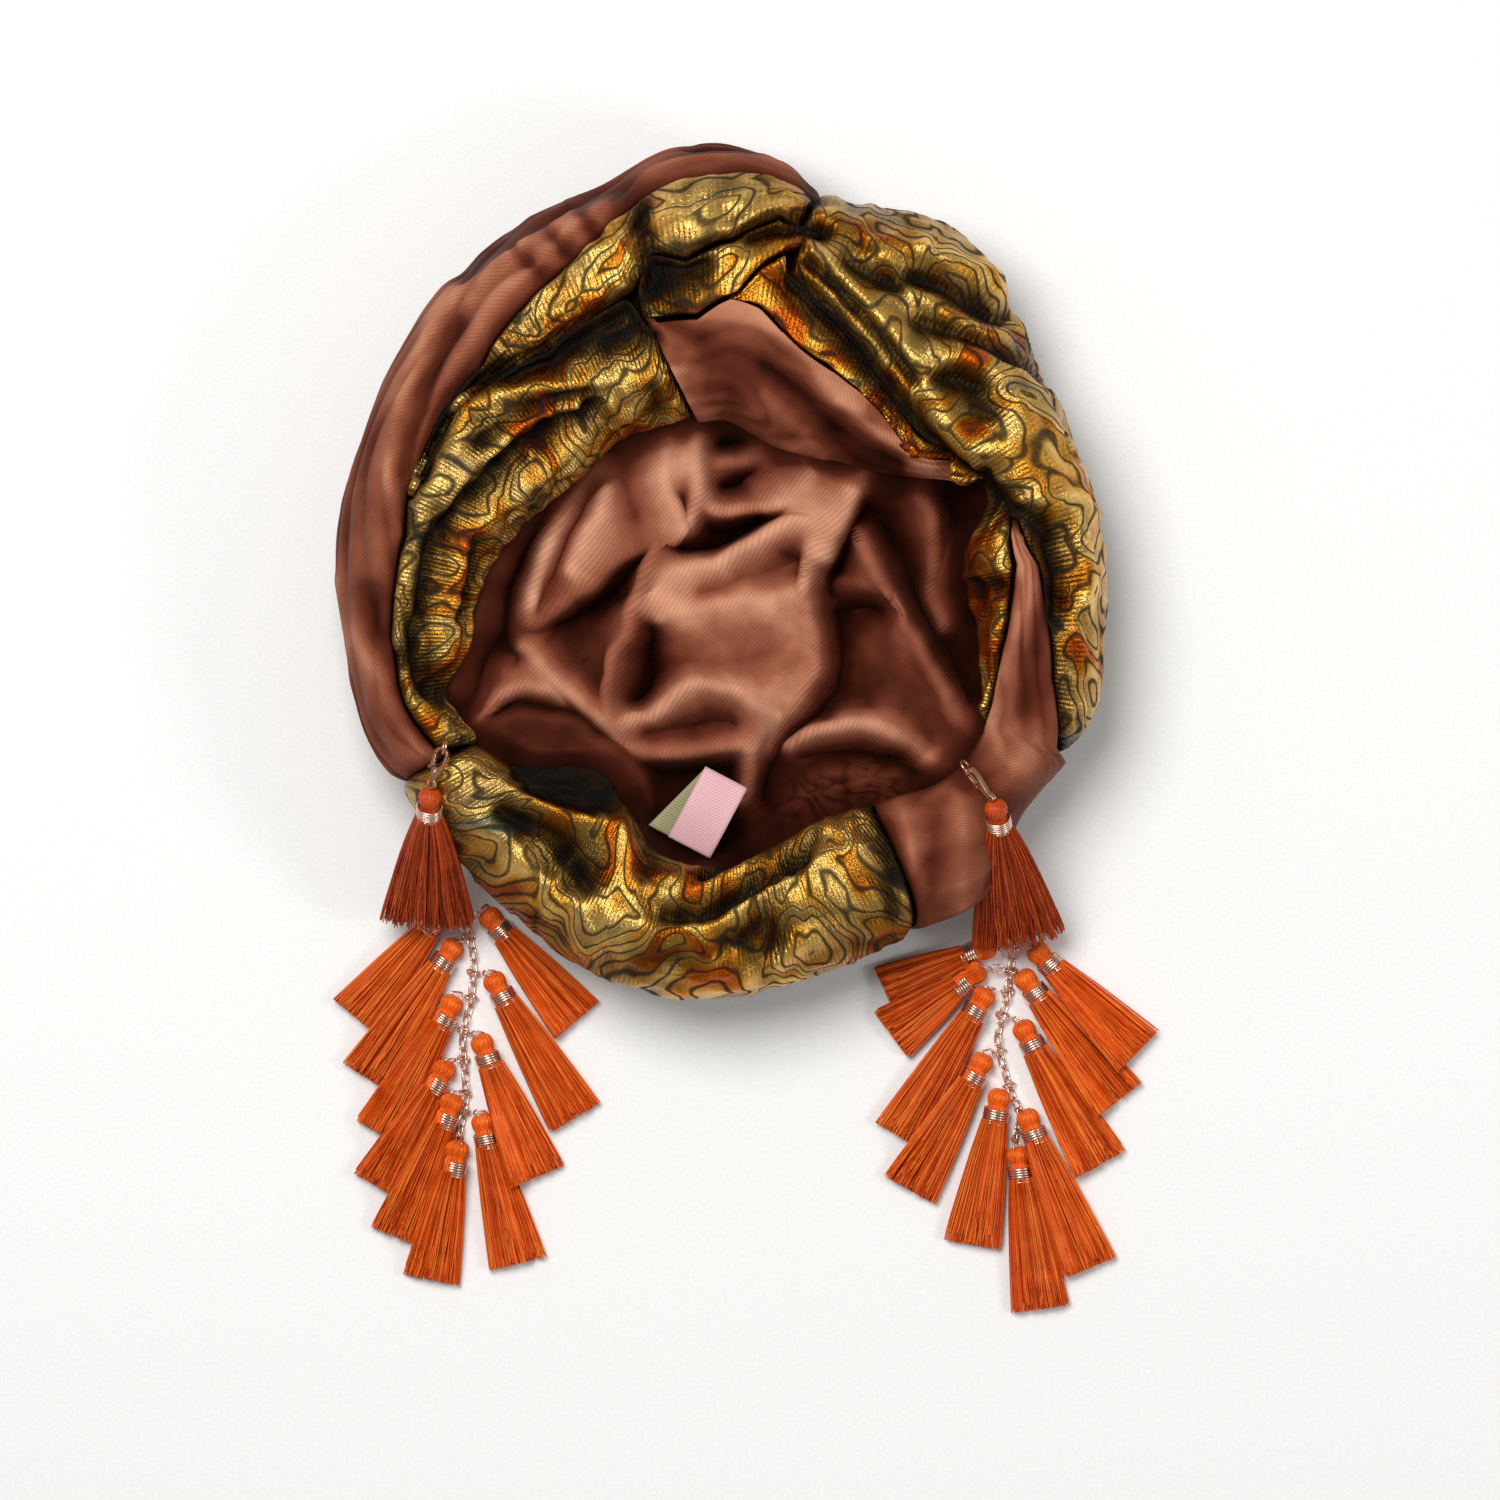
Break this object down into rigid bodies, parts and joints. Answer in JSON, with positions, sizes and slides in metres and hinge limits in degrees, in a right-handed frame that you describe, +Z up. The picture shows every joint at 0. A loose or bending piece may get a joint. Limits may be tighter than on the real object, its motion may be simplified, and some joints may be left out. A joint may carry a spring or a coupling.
{
  "type": "turban",
  "caption": "Soft velvet and brocade turban lying on its crown with the head opening up, with wrapped folds round the rim and detachable tassel drops on lobster clasps.",
  "frame": {"origin": "centre of the flat crown face that the turban lies on, under the middle of the head opening", "axes": "+Z up out of the head opening, +Y towards the front twist, -Y towards the back of the head and the tassel drops"},
  "size_m": [0.2644, 0.3722, 0.0727],
  "materials": {
    "velvet": "stretch velvet with a fine rib",
    "lining_velvet": "stretch velvet, inside face",
    "brocade": "gold and black lurex brocade",
    "thread": "silky rayon thread",
    "dark_thread": "silky rayon thread, darker",
    "rose_gold": "pale rose gold plating",
    "ribbon": "woven satin ribbon"
  },
  "bodies": {
    "root": {"back_brocade_band": "brocade", "crown_lining": "lining_velvet", "crown_shell": "velvet", "front_brocade_wrap": "brocade", "front_loop": "brocade", "front_velvet_flap": "velvet", "inner_brocade_wrap": "brocade", "label_loop": "ribbon", "left_chain": "rose_gold", "left_clasp_body": "rose_gold", "left_jump_ring": "rose_gold", "left_tassel_1": "thread", "left_tassel_10": "thread", "left_tassel_2": "thread", "left_tassel_3": "thread", "left_tassel_4": "thread", "left_tassel_5": "thread", "left_tassel_6": "thread", "left_tassel_7": "thread", "left_tassel_8": "thread", "left_tassel_9": "thread", "left_top_tassel": "dark_thread", "right_brocade_wrap": "brocade", "right_chain": "rose_gold", "right_clasp_body": "rose_gold", "right_inner_brocade": "brocade", "right_jump_ring": "rose_gold", "right_tassel_1": "thread", "right_tassel_10": "thread", "right_tassel_2": "thread", "right_tassel_3": "thread", "right_tassel_4": "thread", "right_tassel_5": "thread", "right_tassel_6": "thread", "right_tassel_7": "thread", "right_tassel_8": "thread", "right_tassel_9": "thread", "right_top_tassel": "dark_thread", "right_velvet_band": "velvet", "side_velvet_wrap": "velvet"},
    "left_clasp_lever": {"left_clasp_lever": "rose_gold"},
    "right_clasp_lever": {"right_clasp_lever": "rose_gold"}
  },
  "joints": [
    {"name": "left_clasp_lever_hinge", "type": "hinge", "parent": "root", "child": "left_clasp_lever", "pos_m": [-0.09036, -0.03954, 0.05523], "axis": [-0.47, 0.0747, 0.8795], "range_deg": [-25, 0], "stiffness_Nm_per_rad": 0.002},
    {"name": "right_clasp_lever_hinge", "type": "hinge", "parent": "root", "child": "right_clasp_lever", "pos_m": [0.08083, -0.04573, 0.05545], "axis": [-0.659, -0.5888, 0.4679], "range_deg": [-25, 0], "stiffness_Nm_per_rad": 0.002}
  ]
}
